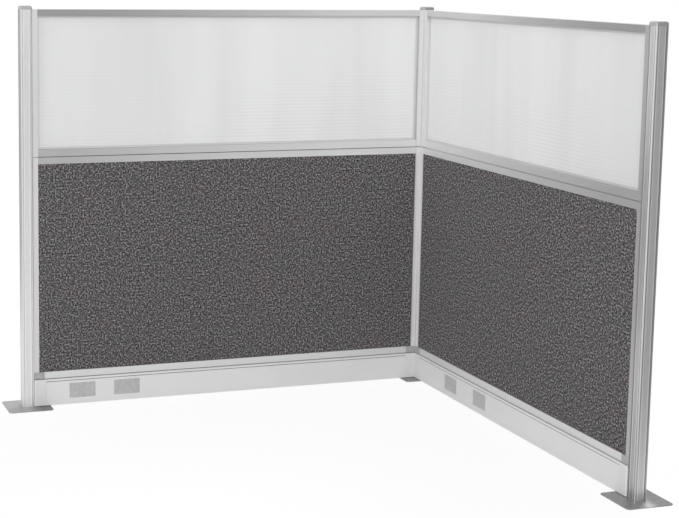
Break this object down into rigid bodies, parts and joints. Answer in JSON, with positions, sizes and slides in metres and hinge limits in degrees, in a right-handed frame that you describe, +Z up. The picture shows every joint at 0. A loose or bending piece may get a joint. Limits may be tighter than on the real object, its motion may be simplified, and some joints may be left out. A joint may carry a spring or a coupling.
{
  "type": "office partition corner",
  "caption": "L-shaped free-standing office partition: posts, fabric-faced acoustic panels with translucent windows above and hinged-cover cable raceways below.",
  "frame": {"origin": "on the floor, at the middle of the underside of the corner post's foot plate", "axes": "+Z up; the back wall runs along -X and the side wall along -Y, so the user's side is towards -X and -Y"},
  "size_m": [2.019, 2.019, 1.702],
  "materials": {
    "post_aluminium": "satin anodised, upright drawing lines",
    "frame_aluminium": "satin anodised",
    "cap_metal": "satin",
    "foot_steel": "polished plate",
    "raceway_paint": "smooth light grey paint",
    "raceway_end": "moulded, light grey",
    "raceway_steel": "grey paint",
    "outlet_blank": "fine moulded grain, mid grey",
    "corner_block": "moulded, mid grey",
    "panel_fabric": "charcoal mottled felted cloth",
    "acoustic_core": "mineral fibre board",
    "glazing": "translucent twin-wall sheet with level flutes",
    "glazing_bead": "soft white bead",
    "fixings": "zinc plated",
    "fixings_aluminium": "mill finish"
  },
  "bodies": {
    "partition": {"back_wall_acoustic_core": "acoustic_core", "back_wall_bottom_rail": "frame_aluminium", "back_wall_fabric_front": "panel_fabric", "back_wall_fabric_rear": "panel_fabric", "back_wall_glazing": "glazing", "back_wall_glazing_beads": "glazing_bead", "back_wall_lower_stile_left": "frame_aluminium", "back_wall_lower_stile_right": "frame_aluminium", "back_wall_raceway_ends": "raceway_end", "back_wall_raceway_header": "raceway_paint", "back_wall_raceway_spine": "raceway_steel", "back_wall_sill_rail": "frame_aluminium", "back_wall_top_rail": "frame_aluminium", "back_wall_upper_rail": "frame_aluminium", "back_wall_window_stile_left": "frame_aluminium", "back_wall_window_stile_right": "frame_aluminium", "corner_blocks": "corner_block", "corner_keys": "fixings_aluminium", "corner_post": "post_aluminium", "corner_post_cap": "cap_metal", "corner_post_foot": "foot_steel", "foot_screws": "fixings", "frame_screws": "fixings", "left_post": "post_aluminium", "left_post_cap": "cap_metal", "left_post_foot": "foot_steel", "post_connectors": "fixings_aluminium", "post_cover_strips": "post_aluminium", "right_post": "post_aluminium", "right_post_cap": "cap_metal", "right_post_foot": "foot_steel", "side_wall_acoustic_core": "acoustic_core", "side_wall_bottom_rail": "frame_aluminium", "side_wall_fabric_front": "panel_fabric", "side_wall_fabric_rear": "panel_fabric", "side_wall_glazing": "glazing", "side_wall_glazing_beads": "glazing_bead", "side_wall_lower_stile_left": "frame_aluminium", "side_wall_lower_stile_right": "frame_aluminium", "side_wall_raceway_ends": "raceway_end", "side_wall_raceway_header": "raceway_paint", "side_wall_raceway_spine": "raceway_steel", "side_wall_sill_rail": "frame_aluminium", "side_wall_top_rail": "frame_aluminium", "side_wall_upper_rail": "frame_aluminium", "side_wall_window_stile_left": "frame_aluminium", "side_wall_window_stile_right": "frame_aluminium"},
    "back_wall_cover_front_body": {"back_wall_cover_front": "raceway_paint"},
    "back_wall_cover_rear_body": {"back_wall_cover_rear": "raceway_paint"},
    "side_wall_cover_front_body": {"side_wall_cover_front": "raceway_paint"},
    "side_wall_cover_rear_body": {"side_wall_cover_rear": "raceway_paint"},
    "back_wall_blank_front_1_body": {"back_wall_blank_front_1": "outlet_blank"},
    "back_wall_blank_front_2_body": {"back_wall_blank_front_2": "outlet_blank"},
    "back_wall_blank_rear_1_body": {"back_wall_blank_rear_1": "outlet_blank"},
    "back_wall_blank_rear_2_body": {"back_wall_blank_rear_2": "outlet_blank"},
    "side_wall_blank_front_1_body": {"side_wall_blank_front_1": "outlet_blank"},
    "side_wall_blank_front_2_body": {"side_wall_blank_front_2": "outlet_blank"},
    "side_wall_blank_rear_1_body": {"side_wall_blank_rear_1": "outlet_blank"},
    "side_wall_blank_rear_2_body": {"side_wall_blank_rear_2": "outlet_blank"}
  },
  "joints": [
    {"name": "back_wall_cover_front_tilt", "type": "hinge", "parent": "partition", "child": "back_wall_cover_front_body", "pos_m": [-0.9145, -0.0255, 0.0078], "axis": [1, 0, 0], "range_deg": [0, 25]},
    {"name": "back_wall_cover_rear_tilt", "type": "hinge", "parent": "partition", "child": "back_wall_cover_rear_body", "pos_m": [-0.9145, 0.0255, 0.0078], "axis": [-1, 0, 0], "range_deg": [0, 25]},
    {"name": "side_wall_cover_front_tilt", "type": "hinge", "parent": "partition", "child": "side_wall_cover_front_body", "pos_m": [-0.0255, -0.9145, 0.0078], "axis": [0, -1, 0], "range_deg": [0, 25]},
    {"name": "side_wall_cover_rear_tilt", "type": "hinge", "parent": "partition", "child": "side_wall_cover_rear_body", "pos_m": [0.0255, -0.9145, 0.0078], "axis": [0, 1, 0], "range_deg": [0, 25]},
    {"name": "back_wall_blank_front_1_pull", "type": "slide", "parent": "back_wall_cover_front_body", "child": "back_wall_blank_front_1_body", "axis": [0, -1, 0], "range_m": [0, 0.02]},
    {"name": "back_wall_blank_front_2_pull", "type": "slide", "parent": "back_wall_cover_front_body", "child": "back_wall_blank_front_2_body", "axis": [0, -1, 0], "range_m": [0, 0.02]},
    {"name": "back_wall_blank_rear_1_pull", "type": "slide", "parent": "back_wall_cover_rear_body", "child": "back_wall_blank_rear_1_body", "axis": [0, 1, 0], "range_m": [0, 0.02]},
    {"name": "back_wall_blank_rear_2_pull", "type": "slide", "parent": "back_wall_cover_rear_body", "child": "back_wall_blank_rear_2_body", "axis": [0, 1, 0], "range_m": [0, 0.02]},
    {"name": "side_wall_blank_front_1_pull", "type": "slide", "parent": "side_wall_cover_front_body", "child": "side_wall_blank_front_1_body", "axis": [-1, 0, 0], "range_m": [0, 0.02]},
    {"name": "side_wall_blank_front_2_pull", "type": "slide", "parent": "side_wall_cover_front_body", "child": "side_wall_blank_front_2_body", "axis": [-1, 0, 0], "range_m": [0, 0.02]},
    {"name": "side_wall_blank_rear_1_pull", "type": "slide", "parent": "side_wall_cover_rear_body", "child": "side_wall_blank_rear_1_body", "axis": [1, 0, 0], "range_m": [0, 0.02]},
    {"name": "side_wall_blank_rear_2_pull", "type": "slide", "parent": "side_wall_cover_rear_body", "child": "side_wall_blank_rear_2_body", "axis": [1, 0, 0], "range_m": [0, 0.02]}
  ]
}
